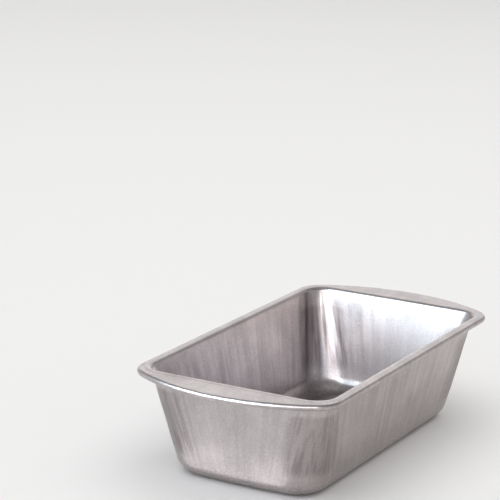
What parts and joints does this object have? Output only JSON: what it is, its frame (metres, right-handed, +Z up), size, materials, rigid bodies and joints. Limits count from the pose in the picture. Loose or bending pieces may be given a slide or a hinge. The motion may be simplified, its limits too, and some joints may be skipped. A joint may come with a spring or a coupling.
{
  "type": "loaf pan",
  "caption": "Rectangular drawn metal baking pan with sloping walls, a raised floor panel, flared end handles and a wired rolled edge.",
  "frame": {"origin": "middle of the face that the pan rests on, under the centre of the floor", "axes": "+X along the pan towards one handle, +Y across it, +Z up out of the opening"},
  "size_m": [0.2794, 0.1404, 0.0707],
  "materials": {
    "drawn_sheet": "satin aluminised sheet with draw marks",
    "edge_wire": "plain drawn wire"
  },
  "bodies": {
    "root": {"pan_body": "drawn_sheet", "rim_wire": "edge_wire"}
  },
  "joints": []
}
